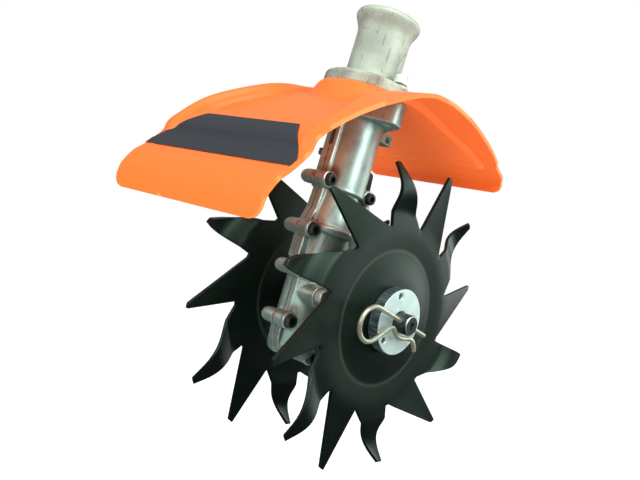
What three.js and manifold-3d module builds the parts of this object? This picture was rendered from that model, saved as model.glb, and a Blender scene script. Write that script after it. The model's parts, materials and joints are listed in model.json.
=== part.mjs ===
// Mini cultivator head for a brush-cutter tube: a worm gearbox in a split die-cast housing carries two
// twelve-tooth weeding discs on one cross shaft, under a moulded mudguard clamped below the tube socket.
// Millimetres, +Z up. The model is laid out about the cross shaft's height with the tube's axis on
// x = y = 0, and is moved at the end so that the origin is the centre of the tube socket's mouth.
// +X runs along the cross shaft, -Y is the front.
import * as THREE from 'three';
import { mergeVertices } from 'three/addons/utils/BufferGeometryUtils.js';
import Module from 'manifold-3d';

const wasm = await Module();
wasm.setup();

// ---- driving dimensions -------------------------------------------------------------------------
const GAP = 0.3;                 // clearance left between neighbouring pieces
const SHAFT_Y = 43.4;            // cross shaft axis behind the tube's axis = worm centre distance
const SHAFT_R = 7.5;
const SHAFT_HALF = 66.2;
const RIM_Z = 212;               // tube socket's mouth above the cross shaft
const TUBE_R = 14.1;             // bore for a 28 mm drive tube
const NECK_R = 20;
const FLANGE_R = 33.5;
const FLANGE_Z = 151;            // underside of the socket's flange
const FLANGE_T = 9;
const BOLT_X = 27.5;             // the two flange bolts sit at +-BOLT_X
const CLAMP_Z0 = 131, CLAMP_Z1 = 147.4;   // gearbox's own top flange
const BODY_R = 19.5;             // gearbox neck
const TUBE_STOP_Z = 100;
const SPLIT = 0.6;               // each housing half stops this far from x = 0
const DRUM_R = 38.5;             // worm wheel chamber, outside
const DISC_R = 115;              // tooth tips
const NOTCH_R = 69.5;
const TEETH = 12;
const SWEEP = -11.7;             // tip angle ahead of the tooth's root, degrees
const PLATE_T = 2.6;
const DISC_X = 45.4;             // outer face of the tooth zone
const HUB_X0 = 46.3, HUB_X1 = 55.1, HUB_R = 24.4;
const CLIP_X = 60.5, WIRE_R = 1.5;
const MODULE = 2, WHEEL_TEETH = 32, WORM_PITCH_R = 11.4, TOOTH_THICK = 2.5;
const GUARD_W = 71, GUARD_T = 3;

const SCREWS = [                 // y, z of the housing screws, all along X
  [-22.8, 81.5], [-24.6, 45], [-21.7, 16.1], [-20.1, -19.7], [23, 80.4],
  [11.5, -42.5], [51, -43.3], [84.7, -15], [77.1, 28.3], [41, 55],
];

const PINCH = [25.2, 127.6];     // y, z of the screw that clamps the tube

// ---- small helpers ------------------------------------------------------------------------------
const rad = THREE.MathUtils.degToRad;
const group = new THREE.Group();

function add(name, geometry, look) {
  const mesh = new THREE.Mesh(geometry, new THREE.MeshStandardMaterial(look));
  mesh.name = name;
  group.add(mesh);
}

function solid(geometry) {
  const g = geometry.clone();
  g.deleteAttribute('normal');
  g.deleteAttribute('uv');
  const m = mergeVertices(g, 1e-4);
  return new wasm.Manifold(new wasm.Mesh({
    numProp: 3,
    vertProperties: new Float32Array(m.attributes.position.array),
    triVerts: new Uint32Array(m.index.array),
  }));
}

function geometryOf(body) {
  const m = body.getMesh();
  const g = new THREE.BufferGeometry();
  g.setAttribute('position', new THREE.BufferAttribute(new Float32Array(m.vertProperties), 3));
  g.setIndex(new THREE.BufferAttribute(new Uint32Array(m.triVerts), 1));
  return g;
}

const union = (...gs) => gs.map(solid).reduce((a, b) => a.add(b));
const cut = (body, ...gs) => gs.reduce((a, g) => a.subtract(solid(g)), body);

// closed lathe about +Z; a profile that stays off the axis is closed back to its first point
function latheZ(points, segments = 32) {
  const pts = points.map(([r, z]) => new THREE.Vector2(r, z));
  if (pts[0].x > 0) pts.push(pts[0].clone());
  return new THREE.LatheGeometry(pts, segments).rotateX(Math.PI / 2);
}

// the same about +X, through the point (y, z)
const latheX = (points, segments = 32, y = SHAFT_Y, z = 0) =>
  latheZ(points, segments).rotateY(Math.PI / 2).translate(0, y, z);

const ringZ = (r0, r1, z0, z1, segments = 16) =>
  latheZ([[r0, z0], [r1, z0], [r1, z1], [r0, z1]], segments);
const ringX = (r0, r1, x0, x1, segments = 16) =>
  latheX([[r0, x0], [r1, x0], [r1, x1], [r0, x1]], segments);

const rodZ = (r, z0, z1, x = 0, y = 0, segments = 24) =>
  latheZ([[0, z0], [r, z0], [r, z1], [0, z1]], segments).translate(x, y, 0);
const rodX = (r, x0, x1, y = SHAFT_Y, z = 0, segments = 24) =>
  latheX([[0, x0], [r, x0], [r, x1], [0, x1]], segments, y, z);

const box = (x0, x1, y0, y1, z0, z1) => new THREE.BoxGeometry(x1 - x0, y1 - y0, z1 - z0)
  .translate((x0 + x1) / 2, (y0 + y1) / 2, (z0 + z1) / 2);

// an outline in the YZ plane pushed out along X
function plateX(outline, x0, x1, holes = []) {
  const shape = new THREE.Shape(outline.map(([y, z]) => new THREE.Vector2(y, z)));
  for (const h of holes) shape.holes.push(new THREE.Path(h.map(([y, z]) => new THREE.Vector2(y, z))));
  const g = new THREE.ExtrudeGeometry(shape, { depth: x1 - x0, bevelEnabled: false, curveSegments: 8 });
  return g.applyMatrix4(new THREE.Matrix4().set(0, 0, 1, x0, 1, 0, 0, 0, 0, 1, 0, 0, 0, 0, 0, 1));
}

// the flange outline seen from above: a round middle with an ear on each side
function oval(z0, z1, grow = 0) {
  const shape = new THREE.Shape();
  const R = 22 + grow, e = 9.8 + grow, a = Math.acos((R - e) / BOLT_X);
  shape.absarc(0, 0, R, a, Math.PI - a, false);
  shape.absarc(-BOLT_X, 0, e, Math.PI - a, Math.PI + a, false);
  shape.absarc(0, 0, R, Math.PI + a, 2 * Math.PI - a, false);
  shape.absarc(BOLT_X, 0, e, -a, a, false);
  const g = new THREE.ExtrudeGeometry(shape, { depth: z1 - z0, bevelEnabled: false, curveSegments: 5 });
  return g.translate(0, 0, z0);
}

const mirrorX = (geometry) => {
  const g = geometry.clone().scale(-1, 1, 1);
  const i = g.index.array;
  for (let k = 0; k < i.length; k += 3) [i[k], i[k + 1]] = [i[k + 1], i[k]];
  return g;
};

// ---- finishes -----------------------------------------------------------------------------------
const CAST = { color: 0xb3aea4, roughness: 0.5, metalness: 0.85 };
const CAST_DARK = { color: 0xa39c90, roughness: 0.52, metalness: 0.85 };
const STEEL = { color: 0x9a9da0, roughness: 0.35, metalness: 1 };
const ZINC = { color: 0xb9c4cc, roughness: 0.34, metalness: 0.9 };
const BLACK_OXIDE = { color: 0x17171a, roughness: 0.45, metalness: 0.6 };
const DISC_BLACK = { color: 0x232826, roughness: 0.5, metalness: 0.3 };
const ORANGE = { color: 0xf07030, roughness: 0.35, metalness: 0 };
const LABEL = { color: 0x34383f, roughness: 0.4, metalness: 0 };
const BRONZE = { color: 0xb07a3a, roughness: 0.4, metalness: 1 };
const RUBBER = { color: 0x202020, roughness: 0.8, metalness: 0 };
const GASKET = { color: 0x9c2a1c, roughness: 0.8, metalness: 0 };
const CREAM_ZINC = { color: 0xcfc7a6, roughness: 0.35, metalness: 0.8 };

// ---- tube socket: bell-mouthed neck on a round flange -------------------------------------------
function tubeSocket() {
  const z = FLANGE_Z, t = z + FLANGE_T;
  const outer = [[TUBE_R, z], [FLANGE_R, z], [FLANGE_R, t - 1.4], [FLANGE_R - 1.4, t], [21.6, t],
    [NECK_R, t + 2.2], [NECK_R, 196], [20.9, 201], [23.7, 206.4], [24.5, 209], [22.9, RIM_Z],
    [19.4, RIM_Z], [15.8, 207], [TUBE_R, 200]];
  const holes = [-1, 1].map((s) => rodZ(3.4, z - 1, t + 1, s * BOLT_X, 0, 10));
  return geometryOf(cut(solid(latheZ(outer, 26)), ...holes));
}

function socketBolt(s) {
  const head = [[0, 133.5], [3, 133.5], [3, 161.9], [5, 161.9], [5, 167.9], [2.6, 167.9],
    [2.6, 164.4], [0, 164.4]];
  return latheZ(head, 12).translate(s * BOLT_X, 0, 0);
}

const socketWasher = (s) => ringZ(3.3, 5.8, 160.3, 161.6, 12).translate(s * BOLT_X, 0, 0);

// ---- mudguard: moulded sheet arching from front to back -----------------------------------------
const GUARD_LINE = [             // outer face in the YZ plane at the raised side bands, front to back
  [-126.5, 34.4], [-127.3, 42], [-126.3, 50], [-121, 60], [-115, 66.5], [-105.6, 79],
  [-104.2, 85.5], [-101.5, 90.5], [-94.7, 98], [-76.3, 114], [-60, 126], [-44, 136],
  [-28, 145], [-10, 152], [12, 154.6], [35, 153.4], [55, 149.6], [76, 143.2], [93.8, 134.6],
  [102.5, 131.2], [107.5, 126.3], [109.5, 118.3],
];
const BAND_H = 3;                // the middle lies this far below the side bands

// how far a point of the sheet lies below the band face
function sunk(x, y) {
  const inner = 43 + 14 * THREE.MathUtils.smoothstep(Math.abs(y), 40, 90);
  const across = 1 - THREE.MathUtils.smoothstep(Math.abs(x), inner - 5, inner);
  const along = THREE.MathUtils.smoothstep(y, -92, -80) * (1 - THREE.MathUtils.smoothstep(y, 84, 96));
  return BAND_H * across * along;
}

function guardNormal(i) {
  const a = GUARD_LINE[Math.max(0, i - 1)], b = GUARD_LINE[Math.min(GUARD_LINE.length - 1, i + 1)];
  const d = new THREE.Vector2(b[0] - a[0], b[1] - a[1]).normalize();
  return [-d.y, d.x];
}

// a sheet that follows the guard's line: x from columns, thickness between two depths below the bands
function sheetOnGuard(columns, from, to, top, bottom) {
  const rows = to - from;
  const g = new THREE.BoxGeometry(1, 1, 1, columns.length - 1, rows, 1);
  const p = g.attributes.position;
  for (let k = 0; k < p.count; k++) {
    const u = Math.round((p.getX(k) + 0.5) * (columns.length - 1));
    const v = from + Math.round((p.getY(k) + 0.5) * rows);
    const [y, z] = GUARD_LINE[v], [ny, nz] = guardNormal(v);
    const x = columns[u](v);
    const depth = (p.getZ(k) > 0 ? top : bottom) + sunk(x, y);
    p.setXYZ(k, x, y - ny * depth, z - nz * depth);
  }
  return g;
}

function mudguard() {
  const corner = (v) => (v === 0 || v === GUARD_LINE.length - 1 ? 8 : v === 1 ? 2 : 0);
  const at = (x) => (v) => Math.sign(x) * Math.min(Math.abs(x), GUARD_W - corner(v));
  const columns = [-71, -59, -48, -40, -20, 0, 20, 40, 48, 59, 71].map(at);
  const sheet = sheetOnGuard(columns, 0, GUARD_LINE.length - 1, 0, GUARD_T);
  const seat = rodZ(FLANGE_R + 0.8, 142, FLANGE_Z - GAP, 0, 0, 20);
  return geometryOf(cut(solid(sheet).add(solid(seat)),
    rodZ(FLANGE_R + 1.6, FLANGE_Z - GAP, 170, 0, 0, 20),
    oval(100, CLAMP_Z1 + GAP, 0.6),
    rodZ(TUBE_R + 0.6, 120, 170, 0, 0, 16),
    rodZ(3.4, 120, 170, BOLT_X, 0, 10), rodZ(3.4, 120, 170, -BOLT_X, 0, 10)));
}

// the plain dark label on the front wing, a thin skin just above the sheet
function label() {
  const half = { 4: 70, 5: 68, 6: 63, 7: 58, 8: 48 };
  const columns = [-1, -0.5, 0, 0.5, 1].map((f) => (v) => f * half[v] + 0.5);
  return sheetOnGuard(columns, 4, 8, -0.6, -0.3);
}

// ---- gearbox housing ----------------------------------------------------------------------------
function drumArc(r, from, to, steps) {
  return Array.from({ length: steps + 1 }, (_, i) => {
    const a = rad(from + (to - from) * i / steps);
    return [SHAFT_Y + r * Math.sin(a), r * Math.cos(a)];
  });
}

function flangeOutline(inset) {
  const k = inset;
  return [
    [-20.2 + k, 130.6], [-20.2 + k, 72], [-20.8 + k, 60], [-24.3 + k, 50], [-24.3 + k, 24 + k * 0.5],
    [-17.4 + k, 18.5 + k * 0.3], [-17.2 + k, -12], [-20.4 + k, -24], [-19.5 + k, -34 + k * 0.3],
    [-16 + k * 0.8, -41 + k * 0.7], [-10, -44.5 + k], [12, -44.5 + k], [24, -41.5 + k],
    ...drumArc(42.2 - k, 178, 22, 9), [30 - k * 0.6, 80 - k], [28 - k, 86 - k * 0.4],
    [20.2 - k, 89 - k * 0.4], [20.2 - k, 130.6],
  ];
}

function housingOutside() {
  const drum = latheX([[0, -31], [20.6, -31], [22.2, -29.5], [23.6, -18.5], [32.5, -15.8],
    [DRUM_R, -10.5], [DRUM_R, 10.5], [32.5, 15.8], [23.6, 18.5], [22.2, 29.5], [20.6, 31], [0, 31]], 24);
  const neck = rodZ(BODY_R, 77, 132, 0, 0, 28);
  const cone = latheZ([[0, 49], [20.4, 49], [16.2, 77.6], [0, 77.6]], 20);
  const barrel = latheZ([[0, -44.2], [13, -44.2], [16.4, -41.5], [17.2, -38], [17.2, 19], [19.4, 26],
    [19.4, 45.5], [20.6, 46.6], [20.6, 49.4], [0, 49.4]], 20);
  const web = plateX([[0, 30], [0, 84], [22, 84], [30, 76], [66, 30]], -8.5, 8.5);
  const pad = box(-5.2, 5.2, -21.4, -12, 78, 131.5);
  const lug = box(-10.5, 10.5, 14, 31, 123.6, 132);
  const plugBoss = rodX(8.2, 8, 20.6, -7, 1.5, 12);
  const bosses = SCREWS.map(([y, z]) => latheX([[0, -14.6], [3.4, -14.6], [5, -12],
    [5.4, 9.5], [0, 9.5]], 10, y, z));
  return union(drum, neck, cone, barrel, web, pad, lug, plugBoss, oval(CLAMP_Z0, CLAMP_Z1),
    plateX(flangeOutline(0), -5.2, 5.2), ...bosses);
}

function housingInside() {
  const column = latheZ([[0, -38.6], [13.2, -38.6], [13.2, -28.2], [13.8, -28.2], [13.8, 30], [12, 33],
    [12, 80.2], [15.3, 80.2], [15.3, 97], [12.6, 97], [12.6, TUBE_STOP_Z], [TUBE_R, TUBE_STOP_Z],
    [TUBE_R, 150], [0, 150]], 16);
  const wheel = latheX([[0, -32], [13.2, -32], [13.2, -22], [17.7, -21.8], [17.7, -9.8], [34.6, -9.8],
    [34.6, 9.8], [17.7, 9.8], [17.7, 21.8], [13.2, 22], [13.2, 32], [0, 32]], 16);
  return [column, wheel, box(-2, 2, -22, -10, 108, 132),
    rodX(2.8, -60, 60, ...PINCH, 8), rodX(2.3, -24, -8, -4, 104, 8), rodX(3.6, 13, 40, -7, 1.5, 8),
    rodZ(3.4, 120, 160, BOLT_X, 0, 10), rodZ(3.4, 120, 160, -BOLT_X, 0, 10),
    ...SCREWS.flatMap(([y, z]) => [rodX(3, -11, 12, y, z, 6), rodX(5.3, 9.5, 30, y, z, 10)])];
}

function housingHalves() {
  const whole = cut(housingOutside(), ...housingInside());
  const keep = (s) => solid(box(s > 0 ? SPLIT : -80, s > 0 ? 80 : -SPLIT, -80, 140, -80, 160));
  return { left: geometryOf(whole.intersect(keep(-1))), right: geometryOf(whole.intersect(keep(1))) };
}

// gasket between the halves: the housing's section a little inside its rim, with an ear at each screw
function gasket() {
  const outer = flangeOutline(0.5).map(([y, z]) => [y, Math.min(z, 104)]).slice(1, -1);
  const inner = [[-16.5, 104.2], [-16.5, 78], [-15, 60], [-17.6, 33], [-14.4, 16], [-14.4, -22], [-14.4, -37],
    [-9, -40], [20, -40.2], ...drumArc(38.2, 178, 22, 9), [24, 74], [16.5, 78], [16.5, 104.2]];
  const ears = SCREWS.map(([y, z]) => rodX(5.4, -0.3, 0.3, y, z, 8));
  return geometryOf(cut(union(plateX([[-19.7, 104], ...outer, [19.7, 104]], -0.3, 0.3), ...ears),
    plateX(inner, -2, 2),
    ...SCREWS.map(([y, z]) => rodX(3, -2, 2, y, z, 6))));
}

function capScrew(y, z) {
  return latheX([[0, -10.6], [2.5, -10.6], [2.5, 9.8], [4.4, 9.8], [4.4, 14.7], [2.3, 14.7],
    [2.3, 12.2], [0, 12.2]], 8, y, z);
}

// its head is on the far side
const pinchScrew = () => mirrorX(mergeVertices(latheX([[0, -7.8], [2.5, -7.8], [2.5, 10.8],
  [4.4, 10.8], [4.4, 15.7], [2.3, 15.7], [2.3, 13.2], [0, 13.2]], 8, ...PINCH)));

// grub screw that locks the tube, standing out of the far side
const grubScrew = () => rodX(2, -25.5, -14.4, -4, 104, 8);

// hexagon-headed oil filler plug
function fillerPlug() {
  const head = rodX(6.3, 21, 26, -7, 1.5, 6);
  return geometryOf(union(head, rodX(3.2, 13.5, 21.5, -7, 1.5, 8)));
}

// ---- worm and wheel -----------------------------------------------------------------------------
function wormShaft() {
  const core = latheZ([[0, -38], [4.4, -38], [5, -37.3], [5, -27.6], [7.6, -27.6], [7.6, -23], [9, -22],
    [9, 22], [7.6, 23], [7.6, 80.4], [7.4, 80.6], [7.4, 98], [4.2, 98], [4.2, 72], [0, 70]], 16);
  const steps = 40, turns = 5;
  const thread = new THREE.BoxGeometry(1, 1, 1, 1, steps, 1);
  const p = thread.attributes.position;
  const lead = Math.PI * MODULE;
  for (let k = 0; k < p.count; k++) {
    const along = p.getY(k) * turns * 2 * Math.PI;
    const r = p.getX(k) > 0 ? WORM_PITCH_R + 1.8 : 7.8;
    const half = TOOTH_THICK / 2 + (WORM_PITCH_R - r) * Math.tan(rad(20));
    // the groove between two turns faces the wheel, so the thread is half a lead away there
    const a = along + Math.PI / 2;
    const z = lead * (along / (2 * Math.PI) + 0.5) + (p.getZ(k) > 0 ? half : -half);
    p.setXYZ(k, r * Math.cos(a), r * Math.sin(a), z);
  }
  return geometryOf(solid(core).add(solid(thread)));
}

function wormWheel() {
  const pitchR = MODULE * WHEEL_TEETH / 2, outline = [];
  for (let i = 0; i < WHEEL_TEETH; i++) {
    for (const [r, s] of [[pitchR - 2.2, -1], [pitchR + 1.8, -1], [pitchR + 1.8, 1], [pitchR - 2.2, 1]]) {
      const half = TOOTH_THICK / 2 + (pitchR - r) * Math.tan(rad(20));
      const a = rad(-90 + 360 * i / WHEEL_TEETH) + s * half / r;
      outline.push([r * Math.sin(a), r * Math.cos(a)]);
    }
  }
  const g = plateX(outline.reverse(), -7, 7);
  const p = g.attributes.position;
  for (let k = 0; k < p.count; k++) {     // teeth lean with the worm's lead
    const a = 0.00295 * p.getX(k), y = p.getY(k), z = p.getZ(k);
    p.setXYZ(k, p.getX(k), y * Math.cos(a) - z * Math.sin(a), y * Math.sin(a) + z * Math.cos(a));
  }
  g.translate(0, SHAFT_Y, 0);
  return geometryOf(cut(solid(g), rodX(SHAFT_R + GAP, -9, 9, SHAFT_Y, 0, 20),
    box(-9, 9, SHAFT_Y - 2.8, SHAFT_Y + 2.8, 0, 10.6)));
}

const wheelKey = () => box(-6.5, 6.5, SHAFT_Y - 2.5, SHAFT_Y + 2.5, 5, 10.2);

// ---- cross shaft and what turns on it -----------------------------------------------------------
const CLIP_TILT = Math.atan2(-5.2, 27);

function crossShaft() {
  const h = SHAFT_HALF;
  const body = latheX([[0, -h + 3.5], [1.8, -h + 2.5], [1.8, -h], [6.5, -h], [SHAFT_R, -h + 1.1],
    [SHAFT_R, h - 1.1], [6.5, h], [1.8, h], [1.8, h - 2.5], [0, h - 3.5]], 16);
  const pinHole = (s) => rodZ(WIRE_R + GAP, -12, 12, 0, 0, 8).rotateX(-Math.PI / 2)
    .rotateX(CLIP_TILT).translate(s * CLIP_X, SHAFT_Y, 0);
  const keySeat = (x0, x1) => box(x0, x1, SHAFT_Y - 2.8, SHAFT_Y + 2.8, 4.7, 12);
  return geometryOf(cut(solid(body), pinHole(-1), pinHole(1), keySeat(-6.8, 6.8),
    keySeat(46.9, 53.1), keySeat(-53.1, -46.9)));
}

const hubKey = () => box(47.2, 52.8, SHAFT_Y - 2.5, SHAFT_Y + 2.5, 5, 9.6);

const HUB_ANGLES = [-21, 99, 219];
const hubPoint = (r, deg) => [SHAFT_Y + r * Math.sin(rad(deg)), r * Math.cos(rad(deg))];

function hub() {
  const body = latheX([[SHAFT_R + GAP, HUB_X0], [HUB_R - 0.5, HUB_X0], [HUB_R, HUB_X0 + 0.5],
    [HUB_R, HUB_X1 - 0.8], [HUB_R - 0.8, HUB_X1], [SHAFT_R + GAP, HUB_X1]], 22);
  return geometryOf(cut(solid(body), box(40, 53.2, SHAFT_Y - 2.8, SHAFT_Y + 2.8, 0, 9.9),
    ...HUB_ANGLES.map((a) => rodX(2.3, 40, 60, ...hubPoint(19.2, a), 8))));
}

const hubScrew = (a) => latheX([[0, 40.6], [3.7, 40.6], [3.7, 42.9], [1.9, 42.9], [1.9, 53.6],
  [0, 53.6]], 10, ...hubPoint(19.2, a));

// R-clip: a straight leg through the shaft and a spring leg looped back over it
function clip() {
  const path = [[27, -5.2], [13.5, -2.6], [0, 0], [-14, 2.7], [-28.6, 5.5], [-38, 6.9], [-44, 5],
    [-48.3, 1.2], [-50.2, -4.2], [-49.4, -9.6], [-46.4, -13.9], [-41, -16.7], [-35, -16.7],
    [-29.5, -14], [-22.4, -8.9], [-15.6, -4.6], [-12.4, -4.9], [-9.6, -7.2], [-5.4, -9.8],
    [1.6, -10.6], [9.6, -9.9], [14, -10.8], [17, -13.6], [19.8, -17.7]];
  const curve = new THREE.CatmullRomCurve3(path.map(([y, z]) => new THREE.Vector3(0, y, z)));
  const section = new THREE.Shape();
  section.absarc(0, 0, WIRE_R, 0, 2 * Math.PI, false);
  const g = new THREE.ExtrudeGeometry(section, { steps: 30, curveSegments: 3, bevelEnabled: false,
    extrudePath: curve });
  return g.translate(CLIP_X, SHAFT_Y, 0);
}

// ---- weeding disc -------------------------------------------------------------------------------
// outer face of the plate, without its teeth: a shallow dish round the hub seat and a set-back ring
const plateFace = (r) => (r > 50.4
  ? DISC_X - 1.5 * (1 - THREE.MathUtils.clamp((r - 50.4) / 15, 0, 1))
  : 46 - 2.1 * THREE.MathUtils.smoothstep(r, 28, 50.4));

function discPlate() {
  const radii = [SHAFT_R + 0.4, 28, 50.4, 65.4, NOTCH_R];
  const front = radii.map((r) => [r, plateFace(r)]);
  const back = [...radii].reverse().map((r) => [r, plateFace(r) - PLATE_T]);
  return latheX([...back, ...front].reverse(), 24);
}

// sideways offset of a tooth: even ones are set over from the root, odd ones bow out and come back
function toothOffset(kind, v) {
  if (kind === 'in') return -6.2 * v;
  if (kind === 'out') return 6.2 * v;
  const bow = Math.sin(Math.PI * THREE.MathUtils.clamp((v - 0.22) / 0.8, 0, 1));
  return (kind === 'bowOut' ? 7.2 : -7.2) * bow * bow ** 0.15;
}

function tooth(centre, kind) {
  const rows = kind.startsWith('bow') ? 7 : 2;
  const g = new THREE.BoxGeometry(1, 1, 1, 1, rows, 1);
  const p = g.attributes.position, half = rad(180 / TEETH - 1.1), tip = 2.1 / DISC_R;
  for (let k = 0; k < p.count; k++) {
    const u = p.getX(k) * 2, v = p.getY(k) + 0.5, outside = p.getZ(k) > 0;
    const f = Math.max(0, (v * (rows + 1) - 1) / rows);   // first row is buried in the plate
    const a0 = centre + u * half, a1 = centre + rad(SWEEP) + u * tip;
    const r0 = v === 0 ? NOTCH_R - 3.6 : NOTCH_R - 0.1;
    const y = (1 - f) * r0 * Math.sin(a0) + f * DISC_R * Math.sin(a1);
    const z = (1 - f) * r0 * Math.cos(a0) + f * DISC_R * Math.cos(a1);
    const x = DISC_X + toothOffset(kind, f) - (outside ? 0 : PLATE_T);
    p.setXYZ(k, x, SHAFT_Y + y, z);
  }
  return g;
}

const CYCLE = ['in', 'bowOut', 'out', 'bowIn'];
function disc(phase) {
  let body = solid(discPlate());
  for (let i = 0; i < TEETH; i++) {
    body = body.add(solid(tooth(rad(phase + 360 * i / TEETH), CYCLE[i % 4])));
  }
  return geometryOf(cut(body, ...HUB_ANGLES.map((a) => rodX(2.3, 38, 50, ...hubPoint(19.2, a), 8))));
}

// ---- assembly -----------------------------------------------------------------------------------
add('tube_socket', tubeSocket(), CAST);
add('mudguard', mudguard(), ORANGE);
add('mudguard_label', label(), LABEL);
for (const [name, s] of [['right', 1], ['left', -1]]) {
  add(`socket_bolt_${name}`, socketBolt(s), ZINC);
  add(`socket_washer_${name}`, socketWasher(s), BLACK_OXIDE);
}

const halves = housingHalves();
add('gearbox_half_right', halves.right, CAST_DARK);
add('gearbox_half_left', halves.left, CAST_DARK);
add('gearbox_gasket', gasket(), GASKET);
SCREWS.forEach(([y, z], i) => add(`gearbox_screw_${i + 1}`, capScrew(y, z), BLACK_OXIDE));
add('tube_pinch_screw', pinchScrew(), BLACK_OXIDE);
add('tube_grub_screw', grubScrew(), BLACK_OXIDE);
add('oil_filler_plug', fillerPlug(), ZINC);

add('worm_shaft', wormShaft(), STEEL);
add('worm_wheel', wormWheel(), BRONZE);
add('wheel_key', wheelKey(), STEEL);
add('worm_bearing_top_outer', ringZ(12.6, 15, 81, 90), STEEL);
add('worm_bearing_top_balls', ringZ(10, 12.2, 83, 88), STEEL);
add('worm_bearing_top_inner', ringZ(7.7, 9.6, 81, 90), STEEL);
add('worm_bearing_bottom_outer', ringZ(10.8, 12.9, -37.6, -29.6), STEEL);
add('worm_bearing_bottom_balls', ringZ(8.4, 10.4, -36, -31.4), STEEL);
add('worm_bearing_bottom_inner', ringZ(5.3, 8, -37.6, -29.6), STEEL);
add('worm_oil_seal', ringZ(7.8, 14.9, 90.6, 95.6), RUBBER);

add('cross_shaft', crossShaft(), STEEL);
const clipGeometry = clip(), hubGeometry = hub();
for (const [name, s] of [['right', 1], ['left', -1]]) {
  const side = (g) => (s > 0 ? g : mirrorX(mergeVertices(g)));
  add(`shaft_bearing_outer_${name}`, side(ringX(14.4, 17.4, 10.3, 21.3)), STEEL);
  add(`shaft_bearing_balls_${name}`, side(ringX(10.7, 14, 12.5, 19.1)), STEEL);
  add(`shaft_bearing_inner_${name}`, side(ringX(7.8, 10.3, 10.3, 21.3)), STEEL);
  add(`shaft_oil_seal_${name}`, side(ringX(8, 12.9, 23.3, 29.6)), RUBBER);
  add(`shaft_spacer_${name}`, side(ringX(7.8, 11, 30, 43)), STEEL);
  add(`disc_hub_${name}`, side(hubGeometry), ZINC);
  add(`hub_key_${name}`, side(hubKey()), STEEL);
  add(`shaft_clip_${name}`, side(clipGeometry), CREAM_ZINC);
  HUB_ANGLES.forEach((a, i) => add(`hub_screw_${name}_${i + 1}`, side(hubScrew(a)), STEEL));
}
add('weeding_disc_right', disc(-39.2), DISC_BLACK);
add('weeding_disc_left', mirrorX(disc(-92.6)), DISC_BLACK);

for (const mesh of group.children) mesh.geometry.translate(0, 0, -RIM_Z);

export default group;
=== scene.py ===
"""Looks of the mini cultivator head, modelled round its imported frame."""
import json
import math

import bpy
from mathutils import Matrix, Vector


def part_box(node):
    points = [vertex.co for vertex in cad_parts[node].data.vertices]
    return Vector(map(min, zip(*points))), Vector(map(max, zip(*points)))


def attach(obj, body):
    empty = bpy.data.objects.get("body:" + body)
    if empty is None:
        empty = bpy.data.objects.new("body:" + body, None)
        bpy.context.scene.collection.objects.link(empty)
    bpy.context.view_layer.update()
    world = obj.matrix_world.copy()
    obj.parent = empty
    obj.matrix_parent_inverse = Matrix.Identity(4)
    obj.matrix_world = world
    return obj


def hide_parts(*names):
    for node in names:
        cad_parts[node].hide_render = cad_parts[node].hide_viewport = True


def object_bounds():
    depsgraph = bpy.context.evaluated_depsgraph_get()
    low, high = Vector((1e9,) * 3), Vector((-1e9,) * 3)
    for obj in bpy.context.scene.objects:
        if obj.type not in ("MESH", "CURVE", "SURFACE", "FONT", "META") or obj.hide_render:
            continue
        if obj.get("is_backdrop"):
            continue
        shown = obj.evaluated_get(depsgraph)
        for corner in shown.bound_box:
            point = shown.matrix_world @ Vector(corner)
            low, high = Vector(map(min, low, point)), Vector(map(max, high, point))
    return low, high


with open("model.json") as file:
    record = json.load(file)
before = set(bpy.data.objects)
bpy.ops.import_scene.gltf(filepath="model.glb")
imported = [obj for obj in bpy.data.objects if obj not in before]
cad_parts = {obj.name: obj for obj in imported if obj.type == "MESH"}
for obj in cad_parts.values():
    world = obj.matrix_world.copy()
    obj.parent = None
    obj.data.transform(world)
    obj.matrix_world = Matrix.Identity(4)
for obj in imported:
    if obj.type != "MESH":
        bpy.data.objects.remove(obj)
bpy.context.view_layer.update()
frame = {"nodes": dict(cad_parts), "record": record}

MM = 0.001

# ---- places, from the frame ----------------------------------------------------------------------
# Everything is laid out in millimetres about the cross shaft's height, with the tube's axis on
# x = y = 0, and LIFT brings it to the frame's own origin.


def middle(node):
    low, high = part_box(node)
    return (low + high) / 2 / MM


def top(node, axis):
    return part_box(node)[1][axis] / MM


def across_x(node):
    """y, z of the middle of a part that lies along X."""
    return middle(node).y, middle(node).z - LIFT


SHAFT_Y = middle("cross_shaft").y
LIFT = middle("cross_shaft").z
SHAFT_END = top("cross_shaft", 0)
HUB_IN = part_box("disc_hub_right")[0].x / MM
HUB_OUT = top("disc_hub_right", 0)
CLIP_X = middle("shaft_clip_right").x
RIM_Z = top("tube_socket", 2) - LIFT
FLANGE_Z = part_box("tube_socket")[0].z / MM - LIFT
SCREWS = [across_x(f"gearbox_screw_{i}") for i in range(1, 11)]
PINCH, GRUB, PLUG = (across_x(node) for node in ("tube_pinch_screw", "tube_grub_screw",
                                                 "oil_filler_plug"))
BOLT_X = middle("socket_bolt_right").x

SPLIT = 0.6                          # half the gap in which the sealant lies
TUBE_R = 14.1
BOLT_HOLE_R = 3.4
HUB_R = 24.4
KEYWAY = 2.8                         # half its width
HUB_ANGLES = (-21, 99, 219)
HUB_SCREW_R = 19.2
TEETH = 12
TIP_R, NOTCH_R, FOLD_R = 114.8, 69.5, 50.4
SWEEP = -11.7                        # degrees a tip lags behind its root
DISC_X = 45.4
PLATE_T = 2.6
SOCKET_VOXEL, HOUSING_VOXEL = 0.62, 0.6
KNURLS, KNURL_DEPTH = 36, 0.955      # grooves round a screw's head, and their share of its radius

ALONG_X = Matrix(((0, 0, 1, 0), (1, 0, 0, 0), (0, 1, 0, 0), (0, 0, 0, 1)))


def on_shaft(radius, degrees):
    """y, z of a point round the cross shaft; the angle runs from +Z towards +Y."""
    a = math.radians(degrees)
    return SHAFT_Y + radius * math.sin(a), radius * math.cos(a)


# ---- making and shaping meshes -------------------------------------------------------------------


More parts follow.
